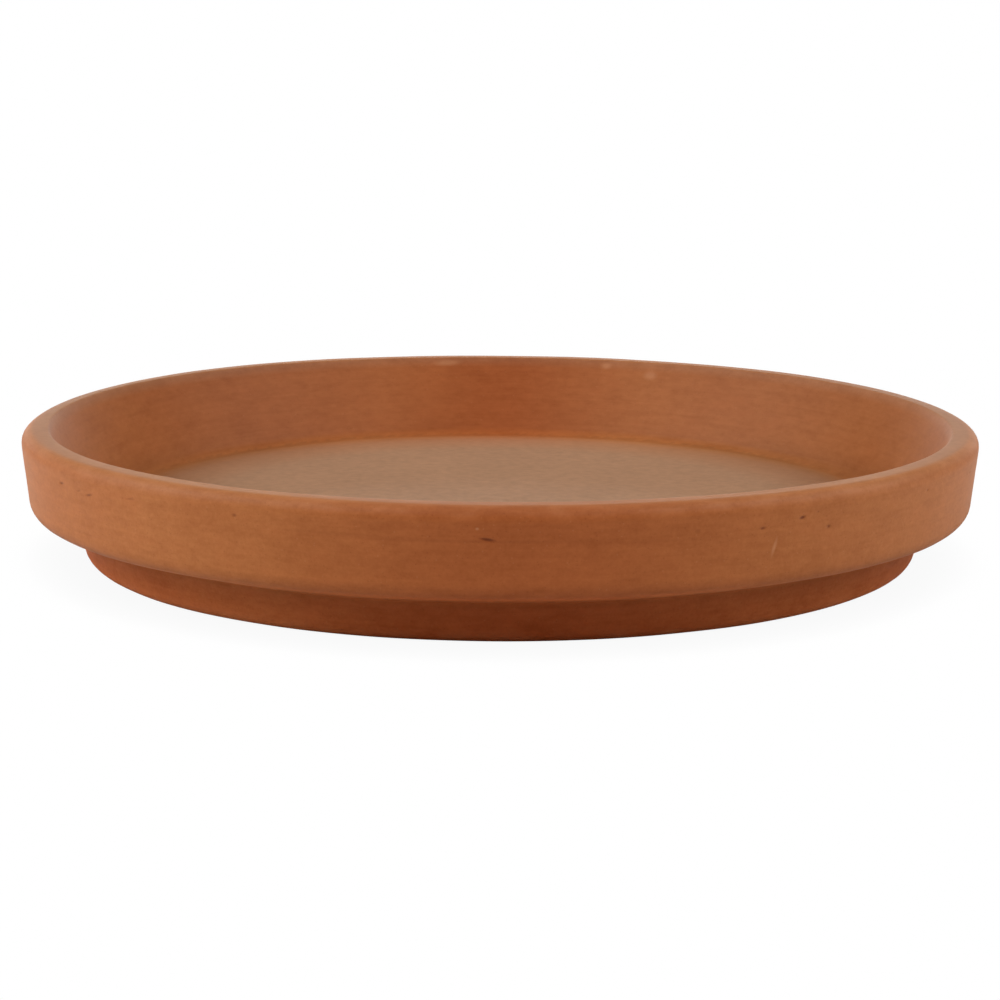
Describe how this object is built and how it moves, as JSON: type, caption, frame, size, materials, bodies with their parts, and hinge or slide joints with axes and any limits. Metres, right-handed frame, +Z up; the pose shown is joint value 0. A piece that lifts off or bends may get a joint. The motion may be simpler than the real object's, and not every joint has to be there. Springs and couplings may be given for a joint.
{
  "type": "terracotta plant saucer",
  "caption": "Shallow round drip saucer of unglazed fired clay, with a wide flat lip, a heavy outer collar, a smaller tapered foot and a sloping wall round a flat dish floor.",
  "frame": {"origin": "centre of the round foot, on the ground plane that the foot rests on", "axes": "+Z up along the axis that the saucer is turned about, out of the open dish; +X and +Y are any two square directions, because the form is round"},
  "size_m": [0.3092, 0.3092, 0.042],
  "materials": {
    "terracotta": "unglazed fired terracotta, matt, with fine turning lines, small pits and a pale dusting on the lip and the dish floor"
  },
  "bodies": {
    "root": {"saucer": "terracotta"}
  },
  "joints": []
}
